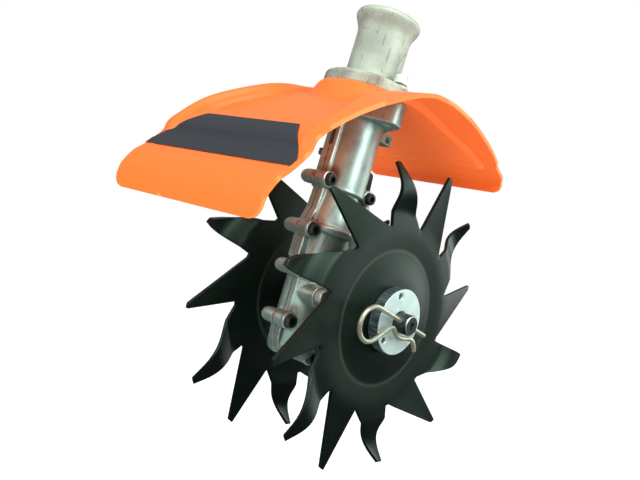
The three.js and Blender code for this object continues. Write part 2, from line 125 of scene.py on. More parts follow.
def object_mode():
    if bpy.context.mode != "OBJECT":
        bpy.ops.object.mode_set(mode="OBJECT")


def edit_mode():
    if bpy.context.mode == "OBJECT":
        bpy.ops.object.mode_set(mode="EDIT")


def select_only(*objects):
    object_mode()
    bpy.ops.object.select_all(action="DESELECT")
    for o in objects:
        o.select_set(True)
    bpy.context.view_layer.objects.active = objects[0]


def start(primitive, **sizes):
    """A new primitive, alone in the selection, with its place in its mesh."""
    object_mode()
    bpy.ops.object.select_all(action="DESELECT")
    primitive(**sizes)
    bpy.ops.object.transform_apply(location=True, rotation=True, scale=True)
    return bpy.context.object


def pick(piece, kind, test):
    """Edit mode with just the vertices, edges or faces that pass the test selected."""
    select_only(piece)
    data = piece.data
    for group in (data.vertices, data.edges, data.polygons):
        group.foreach_set("select", [False] * len(group))
    chosen = {"VERT": data.vertices, "EDGE": data.edges, "FACE": data.polygons}[kind]
    chosen.foreach_set("select", [bool(test(item)) for item in chosen])
    bpy.context.tool_settings.mesh_select_mode = (kind == "VERT", kind == "EDGE", kind == "FACE")
    edit_mode()


def face_out(piece):
    select_only(piece)
    edit_mode()
    bpy.ops.mesh.select_all(action="SELECT")
    bpy.ops.mesh.remove_doubles(threshold=1e-6)
    bpy.ops.mesh.normals_make_consistent(inside=False)
    object_mode()
    return piece


def shaped(piece, kind, **settings):
    """Adds a modifier and applies it."""
    select_only(piece)
    modifier = piece.modifiers.new(kind.lower(), kind)
    for key, value in settings.items():
        setattr(modifier, key, value)
    bpy.ops.object.modifier_apply(modifier=modifier.name)
    return piece


def softened(piece, width, segments=3, angle=35):
    """Small rounds on the piece's sharp edges."""
    return shaped(piece, "BEVEL", width=width * MM, segments=segments, limit_method="ANGLE",
                  angle_limit=math.radians(angle), harden_normals=False)


def moved(piece, *offset):
    piece.data.transform(Matrix.Translation(Vector(offset) * MM))
    return piece


def drawn_ring(profile, sides):
    """A ring drawn out through each (radius, height) of a profile, left in edit mode."""
    radius, height = profile[0]
    piece = start(bpy.ops.mesh.primitive_circle_add, vertices=sides, radius=radius * MM,
                  location=(0, 0, height * MM))
    edit_mode()
    bpy.context.tool_settings.mesh_select_mode = (False, True, False)
    bpy.ops.mesh.select_all(action="SELECT")
    for r, h in profile[1:]:
        rise = (0, 0, (h - height) * MM)
        bpy.ops.mesh.extrude_edges_move(TRANSFORM_OT_translate={"value": rise})
        bpy.ops.transform.resize(value=(r / radius, r / radius, 1), center_override=(0, 0, h * MM))
        radius, height = r, h
    return piece


def turned(profile, sides=48, closed=False, along="Z", at=(0, 0)):
    """A turned solid. A closed profile meets its start, an open one gets flat ends."""
    piece = drawn_ring(profile + [profile[0]] if closed else profile, sides)
    if not closed:
        bpy.ops.mesh.edge_face_add()
        bpy.ops.mesh.select_all(action="DESELECT")
        bpy.ops.mesh.select_non_manifold()
        bpy.ops.mesh.edge_face_add()
    face_out(piece)
    if along == "X":
        piece.data.transform(ALONG_X)
        return moved(piece, 0, *at)
    return moved(piece, *at, 0)


def rod(radius, low, high, along="Z", at=(0, 0), sides=32):
    return turned([(radius, low), (radius, high)], sides, along=along, at=at)


def hexagon(radius, low, high, along="Z", at=(0, 0)):
    return rod(radius, low, high, along, at, sides=6)


def block(x0, x1, y0, y1, z0, z1):
    return start(bpy.ops.mesh.primitive_cube_add, size=MM,
                 location=((x0 + x1) / 2 * MM, (y0 + y1) / 2 * MM, (z0 + z1) / 2 * MM),
                 scale=(x1 - x0, y1 - y0, z1 - z0))


def slab(outline, low, high, along="X"):
    """A flat outline drawn out along X (points are y, z) or along Z (points are x, y)."""
    piece = start(bpy.ops.mesh.primitive_circle_add, vertices=len(outline), radius=MM,
                  fill_type="NGON")
    for vertex, (a, b) in zip(piece.data.vertices, outline):
        vertex.co = Vector((low, a, b) if along == "X" else (a, b, low)) * MM
    edit_mode()
    bpy.ops.mesh.select_all(action="SELECT")
    reach = (high - low) * MM
    bpy.ops.mesh.extrude_region_move(
        TRANSFORM_OT_translate={"value": (reach, 0, 0) if along == "X" else (0, 0, reach)})
    return face_out(piece)


def joined(pieces):
    select_only(*pieces)
    if len(pieces) > 1:
        bpy.ops.object.join()
    return bpy.context.object


def carved(piece, cutters):
    """Takes the cutters out of the piece, one after the other."""
    for cutter in cutters:
        shaped(piece, "BOOLEAN", operation="DIFFERENCE", solver="MANIFOLD", object=cutter)
        bpy.data.objects.remove(cutter)
    return piece


def as_cast(parts, voxel, rounds):
    """Melts overlapping parts into one skin with soft inside corners, as a casting has."""
    piece = joined(parts)
    shaped(piece, "REMESH", mode="VOXEL", voxel_size=voxel * MM, adaptivity=0)
    return shaped(piece, "SMOOTH", factor=0.5, iterations=rounds)


def copied(piece):
    twin = piece.copy()
    twin.data = piece.data.copy()
    bpy.context.scene.collection.objects.link(twin)
    return twin


def mirrored(piece):
    twin = copied(piece)
    twin.data.transform(Matrix.Scale(-1, 4, (1, 0, 0)))
    return face_out(twin)


def finished(piece, name, body, look, stands_for, smooth):
    """Names a piece, lifts it to its place, and gives it its body and its finish."""
    moved(piece, 0, 0, LIFT)
    select_only(piece)
    bpy.ops.object.shade_smooth_by_angle(angle=math.radians(smooth))
    piece.name = piece.data.name = name
    piece.data.materials.clear()
    piece.data.materials.append(look)
    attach(piece, body)
    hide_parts(*stands_for)


# ---- finishes ------------------------------------------------------------------------------------


class Value:
    """A number in a shader. Arithmetic on it adds Math nodes."""

    def __init__(self, finish, socket):
        self.finish, self.socket = finish, socket

    def _math(self, operation, *inputs):
        return self.finish.add("ShaderNodeMath", {"operation": operation}, *inputs)

    def __add__(self, other):
        return self._math("ADD", self, other)

    def __sub__(self, other):
        return self._math("SUBTRACT", self, other)

    def __rsub__(self, other):
        return self._math("SUBTRACT", other, self)

    def __mul__(self, other):
        return self._math("MULTIPLY", self, other)

    def __pow__(self, other):
        return self._math("POWER", self, other)

    __radd__, __rmul__ = __add__, __mul__

    def between(self, low, high):
        """0 below low, 1 above high, and smooth in between."""
        return self.finish.add("ShaderNodeMapRange", {"interpolation_type": "SMOOTHSTEP"}, self,
                               low, high, 0.0, 1.0)

    def at_most(self, other):
        return self._math("MINIMUM", self, other)


class Finish:
    """A material whose nodes are added one by one round a Principled shader.

    Scales are in waves a metre, and heights and lengths in metres."""

    def __init__(self, name, **fixed):
        self.material = bpy.data.materials.new(name)
        self.material.use_nodes = True
        self.nodes, self.links = self.material.node_tree.nodes, self.material.node_tree.links
        self.shader = self.nodes["Principled BSDF"]
        self.place = self.nodes.new("ShaderNodeTexCoord").outputs["Object"]
        for socket, value in fixed.items():
            self.shader.inputs[socket.replace("_", " ")].default_value = value

    def add(self, kind, settings, *inputs, out=0, **named):
        """A node: its settings first, then what goes into its sockets. Returns one output."""
        node = self.nodes.new(kind)
        stops = settings.pop("stops", None)
        for key, value in settings.items():
            setattr(node, key, value)
        if stops:
            ramp = node.color_ramp.elements
            while len(ramp) < len(stops):
                ramp.new(1.0)
            for element, (position, colour) in zip(ramp, stops):
                element.position, element.color = position, (*colour, 1)
        pairs = list(enumerate(inputs)) + [(k.replace("_", " "), v) for k, v in named.items()]
        for key, value in pairs:
            self.feed(node.inputs[key], value)
        return Value(self, node.outputs[out])

    def feed(self, socket, value):
        if isinstance(value, Value):
            self.links.new(value.socket, socket)
        elif isinstance(value, bpy.types.NodeSocket):
            self.links.new(value, socket)
        elif value is not None:
            if socket.type == "RGBA" and len(value) == 3:
                value = (*value, 1)
            socket.default_value = value

    def grain(self, scale, detail=3.0, rough=0.55, stretch=None, warp=0.0, tilt=(0, 0, 0)):
        """Noise over the object, 0 to 1."""
        place = self.place
        if stretch:
            place = self.add("ShaderNodeMapping", {}, place, (0, 0, 0), tilt, stretch)
        return self.add("ShaderNodeTexNoise", {}, Vector=place, Scale=scale, Detail=detail,
                        Roughness=rough, Distortion=warp)

    def near(self, point, inner, outer):
        """1 within inner millimetres of a point, 0 beyond outer."""
        x, y, z = point
        away = self.add("ShaderNodeVectorMath", {"operation": "DISTANCE"}, self.place,
                        (x * MM, y * MM, (z + LIFT) * MM), out=1)
        return 1 - away.between(inner * MM, outer * MM)

    def axis_distance(self, y, z):
        """Distance from the line along X through (y, z)."""
        flat = self.add("ShaderNodeVectorMath", {"operation": "MULTIPLY_ADD"}, self.place,
                        (0, 1, 1), (0, -y * MM, -(z + LIFT) * MM))
        return self.add("ShaderNodeVectorMath", {"operation": "LENGTH"}, flat, out=1)

    def edges(self, low=0.505, high=0.56):
        """1 along outside edges, used both for wear and for painted edge highlights."""
        geometry = self.nodes.new("ShaderNodeNewGeometry")
        return Value(self, geometry.outputs["Pointiness"]).between(low, high)

    def shade_in_hollows(self, reach, power=1.5):
        """1 in corners and pockets, where shade falls; used to paint shade there."""
        shade = self.add("ShaderNodeAmbientOcclusion", {"samples": 6}, out=1,
                         Distance=reach * MM)
        return (1 - shade) ** power

    def mix(self, amount, a, b):
        """Colour a where amount is 0, colour b where it is 1."""
        node = self.nodes.new("ShaderNodeMix")
        node.data_type = "RGBA"
        for socket, value in ((node.inputs[0], amount), (node.inputs[6], a), (node.inputs[7], b)):
            self.feed(socket, value)
        return Value(self, node.outputs[2])

    def surface(self, colour, rough=None, metal=None, bumps=()):
        """Joins colour and roughness to the shader, and heights in metres one on another."""
        for name, value in (("Base Color", colour), ("Roughness", rough), ("Metallic", metal)):
            self.feed(self.shader.inputs[name], value)
        normal = None
        for height, depth, strength in bumps:
            normal = self.add("ShaderNodeBump", {}, strength, depth, Height=height, Normal=normal)
        self.feed(self.shader.inputs["Normal"], normal)
        return self.material


def cast_look(name, pale, mid, dark, stains_and_shade, rough, metal, hollow_shade_amount, scratched):
    """Die-cast aluminium: cloudy, scuffed, with painted shade in its corners and painted highlights
    on its edges.
    """
    f = Finish(name, IOR=1.5)
    cloud = f.grain(38, 4, 0.6)
    scuff = f.grain(90, 5, 0.7, stretch=(1, 1, 0.28), warp=0.6).between(0.52, 0.7)
    speck = f.grain(900, 2, 0.5)
    edge = f.edges(0.503, 0.54)
    # Painted shade: corners and pockets are darkened as ambient occlusion finds them.
    hollow_shade = f.shade_in_hollows(4, 1.2) * hollow_shade_amount
    colour = f.mix(cloud.between(0.3, 0.7), mid, pale)
    colour = f.mix(scuff * 0.5, colour, dark)
    colour = f.mix(hollow_shade.at_most(1.0), colour, dark)
    # Painted highlight: outside edges are lightened beyond the pale tone.
    colour = f.mix(edge * 0.75, colour, [min(1, c * 1.5) for c in pale])
    scratch = (f.grain(330, 4, 0.65, stretch=(1, 1, 0.1), tilt=(0.5, 0.95, 0)).between(0.6, 0.68)
               + f.grain(210, 4, 0.7, stretch=(0.12, 1, 1), warp=0.3, tilt=(0, 0.35, 0.6))
               .between(0.63, 0.7)) * scratched
    colour = f.mix(scratch.at_most(1.0), colour, dark)
    covered = 0.0
    # Each spot is a stain, except that the socket's list also holds one spot of painted shade.
    for point, inner, outer, tint, amount in stains_and_shade:
        spot = f.near(point, inner, outer) * f.grain(160, 4, 0.7).between(0.28, 0.54) * amount
        colour = f.mix(spot, colour, tint)
        covered = spot + covered
    roughness = rough + cloud * 0.14 + scuff * 0.12 + speck * 0.08 - edge * 0.1
    return f.surface(colour, roughness, metal - (hollow_shade * 0.25 + covered * 0.5).at_most(metal),
                     [(speck, 0.00006, 0.5), (f.grain(240, 3, 0.6), 0.00025, 0.25),
                      (scuff, 0.00008, 0.3)])


RUST, OIL, SEALANT = (0.15, 0.06, 0.022), (0.12, 0.085, 0.05), (0.45, 0.02, 0.015)


def boss_stains():
    """Rust and oil round the front screws, and red sealant where it shows at the seam."""
    spots = []
    for i, tint, amount in ((0, RUST, 0.95), (1, RUST, 0.85), (3, OIL, 0.8), (2, OIL, 0.5)):
        y, z = SCREWS[i]
        spots.append(((9, y + 2, z + 5), 4.5, 9.5, tint, amount))
        spots.append(((0, y - 4, z + 1), 0.8, 3.2, SEALANT, 0.9))
    spots.append(((0, -21, 96), 0.6, 3, SEALANT, 1.0))
    spots.append(((0, -21, 103), 0.4, 2, SEALANT, 1.0))
    spots.append(((-12, -20, 140), 4, 16, OIL, 0.9))
    spots.append(((10, -18, 118), 3, 18, OIL, 0.45))
    return spots


def orange_look():
    """Moulded plastic with flow marks, light scratches, pale edges and a moulding ring."""
    f = Finish("moulded_orange", IOR=1.47, Specular_IOR_Level=0.35)
    flow = f.grain(9, 2, 0.5, warp=0.8)
    fine = f.grain(1500, 2, 0.5)
    scratch = f.grain(260, 4, 0.7, stretch=(0.12, 1, 1)).between(0.62, 0.72)
    edge = f.edges(0.52, 0.6)
    colour = f.mix(flow, (0.90, 0.135, 0.015), (0.97, 0.165, 0.021))
    colour = f.mix(edge * 0.5 + scratch * 0.1, colour, (1.0, 0.30, 0.08))
    ring_gap = f.add("ShaderNodeVectorMath", {"operation": "DISTANCE"}, f.place,
                     (0.02, 0.088, (128 + LIFT) * MM), out=1)
    ring = ring_gap.between(0.0052, 0.0058) * (1 - ring_gap.between(0.0064, 0.007))
    return f.surface(colour, 0.34 + flow * 0.1 + fine * 0.05 + scratch * 0.15, None,
                     [(fine, 0.00003, 0.3), (f.grain(30, 2, 0.5), 0.0006, 0.12),
                      (ring, 0.0003, 0.5)])


def film_look():
    """Matt dark film with a little dust."""
    f = Finish("label_film", IOR=1.5, Specular_IOR_Level=0.25)
    weave = f.grain(1800, 2, 0.5)
    cloud = f.grain(30, 3, 0.6)
    dust = f.grain(500, 4, 0.7).between(0.66, 0.74)
    colour = f.mix(cloud, (0.018, 0.021, 0.026), (0.027, 0.031, 0.037))
    colour = f.mix(dust * 0.25, colour, (0.25, 0.25, 0.27))
    return f.surface(colour, 0.52 + weave * 0.12 + cloud * 0.1, None, [(weave, 0.00002, 0.3)])


def oxide_look(name, base, bright, rough, metal):
    """Oiled black steel whose edges have rubbed to bright metal."""
    f = Finish(name, IOR=1.5)
    speck = f.grain(1100, 3, 0.6)
    wear = f.edges(0.52, 0.58) * f.grain(300, 3, 0.6).between(0.3, 0.55)
    colour = f.mix(speck, base, [c * 1.9 for c in base])
    colour = f.mix(wear * 0.45, colour, bright)
    return f.surface(colour, rough + speck * 0.14, metal, [(speck, 0.00004, 0.4)])


def plated_look(name, dark, pale, rough=0.3, metal=0.9, turning=0.0, centre=None, rim=None):
    """Zinc plate: a cloudy sheen over fine turning lines, with painted shade in its hollows."""
    f = Finish(name, IOR=1.5)
    cloud = f.grain(120, 4, 0.65)
    speck = f.grain(1400, 2, 0.5)
    edge = f.edges(0.52, 0.6)
    hollow_shade = f.shade_in_hollows(2.5, 1.2)
    colour = f.mix(cloud.between(0.3, 0.7), dark, pale)
    # Painted shade: corners and pockets are darkened as ambient occlusion finds them.
    colour = f.mix(hollow_shade * 0.7, colour, [c * 0.25 for c in dark])
    colour = f.mix(edge * 0.6, colour, [min(1, c * 1.25) for c in pale])
    bumps = [(speck, 0.00003, 0.4)]
    if turning:
        radius = f.axis_distance(*centre)
        lines = f.add("ShaderNodeMath", {"operation": "SINE"}, radius * (2 * math.pi / 0.0009))
        bumps.append((lines, 0.00002, turning))
    # Painted shade on the side wall past the given radius, with lighter streaks as painted glints
    # standing in for a knurl.
    if rim:
        knurl_glint = f.grain(1000, 2, 0.5, stretch=(0.12, 1, 1)).between(0.35, 0.7)
        side = f.mix(knurl_glint * cloud, (0.05, 0.085, 0.085), (0.30, 0.44, 0.46))
        colour = f.mix(radius.between((rim - 0.45) * MM, (rim - 0.2) * MM), colour, side)
    return f.surface(colour, rough + cloud * 0.12 + speck * 0.06, metal, bumps)


def disc_look():
    """Satin black coating on spring steel, dusty, rubbed thin at the edges and tips; painted
    highlight on the fold ring.
    """
    f = Finish("disc_coating", IOR=1.5, Specular_IOR_Level=0.42, Specular_Tint=(0.6, 1.0, 0.79, 1))
    cloud = f.grain(26, 4, 0.6)
    speck = f.grain(1300, 2, 0.5)
    dust = f.grain(420, 5, 0.75).between(0.6, 0.78)
    edge = f.edges(0.52, 0.62)
    radius = f.axis_distance(SHAFT_Y, 0)
    # Painted highlight: a lighter band along the fold ring.
    fold = (radius.between((FOLD_R - 2.2) * MM, (FOLD_R - 0.2) * MM)
            * (1 - radius.between(FOLD_R * MM, (FOLD_R + 2.2) * MM)))
    swirl = f.add("ShaderNodeMath", {"operation": "SINE"}, radius * (2 * math.pi / 0.0035))
    colour = f.mix(cloud.between(0.25, 0.75), (0.0008, 0.002, 0.0014), (0.0018, 0.0036, 0.0028))
    colour = f.mix(dust * 0.1, colour, (0.04, 0.05, 0.043))
    colour = f.mix(fold * 0.35, colour, (0.05, 0.062, 0.05))
    colour = f.mix(edge * 0.1, colour, (0.08, 0.09, 0.085))
    return f.surface(colour, 0.33 + cloud * 0.1 + speck * 0.08 - fold * 0.05, None,
                     [(speck, 0.00004, 0.5), (f.grain(60, 3, 0.6), 0.0005, 0.1),
                      (swirl, 0.00002, 0.15)])


def steel_look(name, dark, pale, rough=0.32, bright=None):
    """Bare machined metal with lines along X, and a painted highlight ring on the shaft's end."""
    f = Finish(name)
    along = f.grain(700, 3, 0.6, stretch=(4, 0.5, 0.5))
    cloud = f.grain(70, 3, 0.6)
    colour = f.mix(cloud * 0.6 + along * 0.4, dark, pale)
    # Painted highlight: a bright ring near the edge of the shaft's end.
    if bright:
        radius = f.axis_distance(SHAFT_Y, 0)
        ring = radius.between(0.0062, 0.0065) * (1 - radius.between(0.0068, 0.0072))
        colour = f.mix(ring * 0.9, colour, bright)
    return f.surface(colour, rough + along * 0.16, 1.0, [(along, 0.00003, 0.4)])


def rubber_look():
    """Dull black seal rubber."""
    f = Finish("seal_rubber", IOR=1.5)
    speck = f.grain(1600, 3, 0.6)
    cloud = f.grain(90, 3, 0.6)
    return f.surface(f.mix(cloud, (0.012, 0.012, 0.012), (0.03, 0.03, 0.03)), 0.62 + speck * 0.2,
                     None, [(speck, 0.00005, 0.4)])


def sealant_look():
    """Dark sealant with red blobs where it was squeezed out."""
    f = Finish("gasket_sealant", IOR=1.45)
    blob = f.grain(170, 4, 0.7).between(0.5, 0.62)
    speck = f.grain(1300, 3, 0.6)
    return f.surface(f.mix(blob, (0.05, 0.035, 0.03), (0.38, 0.02, 0.012)),
                     0.45 + speck * 0.25, None, [(speck, 0.0001, 0.5)])


SOCKET_CAST = cast_look(
    "socket_casting", (0.42, 0.49, 0.40), (0.28, 0.33, 0.265), (0.07, 0.08, 0.065),
    # The first spot, dark on the socket's left side, is painted shade.
    [((-20, -27, 158), 4, 15, (0.07, 0.08, 0.065), 0.9), ((22, -22, 157), 3, 12, OIL, 0.6),
     ((2, -33, 157), 2, 12, (0.10, 0.11, 0.09), 0.7),
     ((-12, -14, 165), 3, 13, (0.12, 0.13, 0.11), 0.7), ((10, -17, 186), 4, 16,
                                                         (0.2, 0.22, 0.2), 0.4)],
    rough=0.46, metal=0.4, hollow_shade_amount=0.5, scratched=0.6)
HOUSING_CAST = cast_look("housing_casting", (0.43, 0.60, 0.54), (0.28, 0.392, 0.345),
                         (0.045, 0.05, 0.035), boss_stains(), rough=0.31, metal=0.8, hollow_shade_amount=1.0,
                         scratched=0.0)
ORANGE = orange_look()
FILM = film_look()
BLACK_OXIDE = oxide_look("black_oxide", (0.006, 0.010, 0.009), (0.25, 0.33, 0.30), rough=0.36,
                         metal=0.35)
ZINC = plated_look("zinc_plate", (0.46, 0.53, 0.48), (0.66, 0.74, 0.67), rough=0.34)
HUB_ZINC = plated_look("hub_zinc", (0.46, 0.60, 0.56), (0.60, 0.76, 0.71), rough=0.4, metal=0.7,
                       turning=0.4, centre=(SHAFT_Y, 0), rim=HUB_R)
YELLOW_ZINC = plated_look("yellow_zinc", (0.30, 0.32, 0.23), (0.44, 0.47, 0.37), rough=0.3,
                          metal=0.75)
DISC_BLACK = disc_look()
SHAFT_STEEL = steel_look("shaft_steel", (0.035, 0.045, 0.042), (0.12, 0.14, 0.135), 0.3,
                         (0.8, 0.95, 0.9))
STEEL = steel_look("machined_steel", (0.34, 0.34, 0.35), (0.6, 0.6, 0.62))
BRONZE = steel_look("wheel_bronze", (0.42, 0.25, 0.09), (0.62, 0.41, 0.17), 0.3)
RUBBER = rubber_look()
SEALANT_LINE = sealant_look()

# ---- camera, floor and light ---------------------------------------------------------------------
FRAME_W, FRAME_H = 640, 480
FOCAL, CENTRE_X, CENTRE_Y = 662.48, 380.49, 236.20     # on a frame 640 wide
SENSOR = 36
EYE = (0.33082, -0.34908, LIFT * MM + 0.01964)
EYE_TURN = (94.4654, -16.5039, 37.4977)

FLOOR_DROP = 0.30                    # metres from the lowest tooth to the floor
LIGHT_AIM = (0, 0, -0.12)
LIGHTS = [                           # name, place, width and height, watts
    ("key", (0.75, -0.8, 0.95), (0.9, 0.7), 18),
    ("front_left", (-0.5, -1.1, 0.35), (0.6, 0.8), 5),
    ("front", (0.4, -1.15, -0.05), (1.1, 0.45), 4),
    ("right", (1.15, 0.12, 0.32), (0.3, 0.8), 9),
    ("behind_right", (0.476, 1.18, 0.22), (0.8, 0.8), 6.5),
]


def camera():
    bpy.ops.object.camera_add(location=EYE, rotation=[math.radians(a) for a in EYE_TURN])
    eye = bpy.context.object
    eye.data.sensor_width = SENSOR
    eye.data.lens = SENSOR * FOCAL / FRAME_W
    eye.data.shift_x = (FRAME_W / 2 - CENTRE_X) / FRAME_W
    eye.data.shift_y = (CENTRE_Y - FRAME_H / 2) / FRAME_W
    eye.data.clip_start = 0.01
    bpy.context.scene.camera = eye


def area_light(name, place, size, power):
    bpy.ops.object.light_add(type="AREA", location=place)
    lamp = bpy.context.object
    lamp.name = name
    lamp.rotation_euler = (Vector(LIGHT_AIM) - Vector(place)).to_track_quat("-Z", "Y").to_euler()
    lamp.data.shape = "RECTANGLE"
    lamp.data.size, lamp.data.size_y = size
    lamp.data.energy = power


def studio():
    scene = bpy.context.scene
    scene.view_settings.view_transform = "Standard"
    floor = start(bpy.ops.mesh.primitive_plane_add, size=16,
                  location=(0, 0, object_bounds()[0][2] - FLOOR_DROP))
    floor.name = "studio_floor"
    f = Finish("floor_paper", Roughness=0.9, Emission_Color=(1, 1, 1, 1), Emission_Strength=0.9)
    f.surface((0.5, 0.5, 0.5))
    floor.data.materials.append(f.material)
    floor.visible_glossy = False
    floor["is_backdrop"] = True
    world = bpy.data.worlds.new("studio")
    scene.world = world
    world.use_nodes = True
    nodes, links = world.node_tree.nodes, world.node_tree.links
    sky = nodes["Background"]
    ramp = nodes.new("ShaderNodeValToRGB")
    for element, (at, level) in zip(ramp.color_ramp.elements, ((0.5, 0.05), (0.95, 1.0))):
        element.position, element.color = at, (level, level, level, 1)
    split = nodes.new("ShaderNodeSeparateXYZ")
    height = nodes.new("ShaderNodeMapRange")
    height.inputs["From Min"].default_value = -1
    links.new(nodes.new("ShaderNodeTexCoord").outputs["Generated"], split.inputs[0])
    links.new(split.outputs[2], height.inputs[0])
    links.new(height.outputs[0], ramp.inputs[0])
    links.new(ramp.outputs[0], sky.inputs["Color"])
    sky.inputs["Strength"].default_value = 0.75
    backdrop = nodes.new("ShaderNodeBackground")
    backdrop.inputs["Color"].default_value = (1, 1, 1, 1)
    backdrop.inputs["Strength"].default_value = 1.0
    blend = nodes.new("ShaderNodeMixShader")
    links.new(nodes.new("ShaderNodeLightPath").outputs["Is Camera Ray"], blend.inputs[0])
    links.new(sky.outputs[0], blend.inputs[1])
    links.new(backdrop.outputs[0], blend.inputs[2])
    links.new(blend.outputs[0], nodes["World Output"].inputs["Surface"])
    for light in LIGHTS:
        area_light(*light)


# ---- tube socket ---------------------------------------------------------------------------------


def tube_socket():
    """Bell-mouthed neck on a round flange, with a boss under each bolt."""
    z, t = FLANGE_Z, FLANGE_Z + 9
    bowl = [(r, RIM_Z - drop) for r, drop in (
        (15.8, 5), (19.2, 0.6), (19.9, 0.1), (20.6, 0), (22.6, 0), (23.6, 0.6), (24.3, 2),
        (24.45, 3.2), (23.9, 5.2), (22.6, 8), (21.2, 10.8), (20.4, 13.5), (20.0, 17))]
    neck = [(19.9, t + 14), (20.0, t + 6), (20.4, t + 3.4), (21.1, t + 1.7), (22.4, t + 0.5),
            (24, t), (31.6, t), (32.8, t - 0.5), (33.4, t - 1.7), (33.5, t - 3), (33.5, z + 1),
            (33.1, z + 0.3), (32.4, z), (TUBE_R, z), (TUBE_R, 200)]
    socket = turned(bowl + neck, 112, closed=True)
    boss = [turned([(6.8, t - 2), (6.8, t + 0.2), (6.6, t + 0.25)], 32, at=(s * BOLT_X, 0))
            for s in (-1, 1)]
    socket = as_cast([socket, *boss], SOCKET_VOXEL, 2)
    carved(socket, [rod(BOLT_HOLE_R, z - 2, t + 3, at=(s * BOLT_X, 0)) for s in (-1, 1)])
    carved(socket, [block(-60, 60, -60, 60, z - 9, z + 0.02), rod(TUBE_R, z - 3, 230, sides=64)])
    finished(socket, "socket_casting", "head", SOCKET_CAST, ["tube_socket"], 50)


def cap_screw(head_r, head, shank_r, tip, key, seat):
    """A socket-head screw along Z: its head stands on seat, its shank ends at tip."""
    top_z = seat + head
    body = turned([(shank_r - 0.5, tip), (shank_r, tip + 0.6), (shank_r, seat),
                   (head_r * 0.97, seat), (head_r, seat + 0.2), (head_r, top_z - 0.7),
                   (head_r - 0.25, top_z - 0.2), (head_r - 0.7, top_z)], KNURLS * 2)
    for v in body.data.vertices:
        across = math.hypot(v.co.x, v.co.y) / MM
        on_side = seat + 0.1 < v.co.z / MM < top_z - 0.6 and across > head_r - 0.1
        if on_side and round(math.atan2(v.co.y, v.co.x) / math.pi * KNURLS) % 2:
            v.co.x *= KNURL_DEPTH
            v.co.y *= KNURL_DEPTH
    return carved(body, [hexagon(key, seat + head * 0.45, top_z + 1)])


def socket_bolts():
    """The flange's screws, each on a split spring washer."""
    bolt = cap_screw(5.0, 6.0, 3.0, 133.5, 2.9, 161.9)
    washer = turned([(3.3, 160.3), (5.8, 160.3), (5.8, 161.6), (3.3, 161.6)], 48, closed=True)
    carved(washer, [block(-0.6, 0.6, -8, 0, 158, 164)])
    softened(washer, 0.15, 2)
    for side, s in (("right", 1), ("left", -1)):
        finished(moved(copied(bolt), s * BOLT_X, 0, 0), f"flange_screw_{side}", "head",
                 ZINC, [f"socket_bolt_{side}"], 30)
        finished(moved(copied(washer), s * BOLT_X, 0, 0), f"spring_washer_{side}", "head",
                 BLACK_OXIDE, [f"socket_washer_{side}"], 30)
    bpy.data.objects.remove(bolt)
    bpy.data.objects.remove(washer)


# ---- mudguard ------------------------------------------------------------------------------------
GUARD_LINE = [
    (-126.3, 34.4), (-126.8, 42), (-126.0, 50), (-121, 60), (-115, 66.5), (-105.6, 79),
    (-104.2, 85.5), (-101.5, 90.5), (-94.7, 98), (-76.3, 114), (-60, 126), (-44, 136),
    (-28, 145), (-10, 152), (12, 154.6), (35, 153.4), (55, 149.6), (76, 143.2), (93.8, 134.6),
    (102.5, 131.2), (107.5, 126.3), (109.5, 118.3)]
GUARD_W, GUARD_T = 71.0, 3.0
SUNK = 3.5                           # how deep the guard's middle lies below its borders
RIDGE_LEFT, RIDGE_RIGHT = 4.8, 2.2   # how far the borders rise on the front wing
SEAT_IN, SEAT_OUT = 34.8, 41.5       # the raised seat round the flange, and where it ends
LABEL_LOW, LABEL_SHOULDER = 37.0, 43.0     # millimetres from the front lip


def smoothstep(value, low, high):
    t = min(1.0, max(0.0, (value - low) / (high - low)))
    return t * t * (3 - 2 * t)


def fine_line(points, spacing=1.0):
    """A smooth line through the points, as points a fixed distance apart."""
    dense = []
    for i in range(len(points) - 1):
        p = [Vector(points[max(0, min(len(points) - 1, i + k))]) for k in (-1, 0, 1, 2)]
        for j in range(24):
            t = j / 24
            a, b = (p[2] - p[0]) * 0.42, (p[3] - p[1]) * 0.42
            dense.append((2 * t ** 3 - 3 * t ** 2 + 1) * p[1] + (t ** 3 - 2 * t ** 2 + t) * a
                         + (3 * t ** 2 - 2 * t ** 3) * p[2] + (t ** 3 - t ** 2) * b)
    dense.append(Vector(points[-1]))
    line, walked = [dense[0]], 0.0
    for before, after in zip(dense, dense[1:]):
        step = (after - before).length
        while walked + step >= spacing * len(line):
            line.append(before.lerp(after, (spacing * len(line) - walked) / step))
        walked += step
    return line


GUARD = fine_line(GUARD_LINE)


def guard_row(s):
    """Point and outward normal of the guard's line at s millimetres from the front lip."""
    s = min(len(GUARD) - 1.001, max(0.0, s))
    i = int(s)
    here = GUARD[i].lerp(GUARD[i + 1], s - i)
    along = (GUARD[min(len(GUARD) - 1, i + 2)] - GUARD[max(0, i - 1)]).normalized()
    return here, Vector((-along.y, along.x))


def guard_point(x, s, depth=0.0):
    """A point of the moulded sheet, depth millimetres inside its outer face."""
    (y, z), normal = guard_row(s)
    inner = 43 + 14 * smoothstep(abs(y), 40, 90)
    across = 1 - smoothstep(abs(x), inner - 3.0, inner + 0.5)
    along = smoothstep(y, -90, -85) * (1 - smoothstep(y, 88, 95))
    rise = RIDGE_LEFT if x < 0 else RIDGE_RIGHT
    ridge = smoothstep(abs(x), inner + 0.5, inner + 6) * (1 - smoothstep(abs(x), inner + 6, 72))
    front = smoothstep(y, -120, -80) * (1 - smoothstep(y, -50, -10))
    sink = depth + SUNK * across * along - rise * ridge * front
    y, z = y - normal.x * sink, z - normal.y * sink
    seat = 1 - smoothstep(math.hypot(x, y), SEAT_IN, SEAT_OUT)
    flat = FLANGE_Z - 0.35 - depth
    return Vector((x, y, z + (flat - z) * seat))


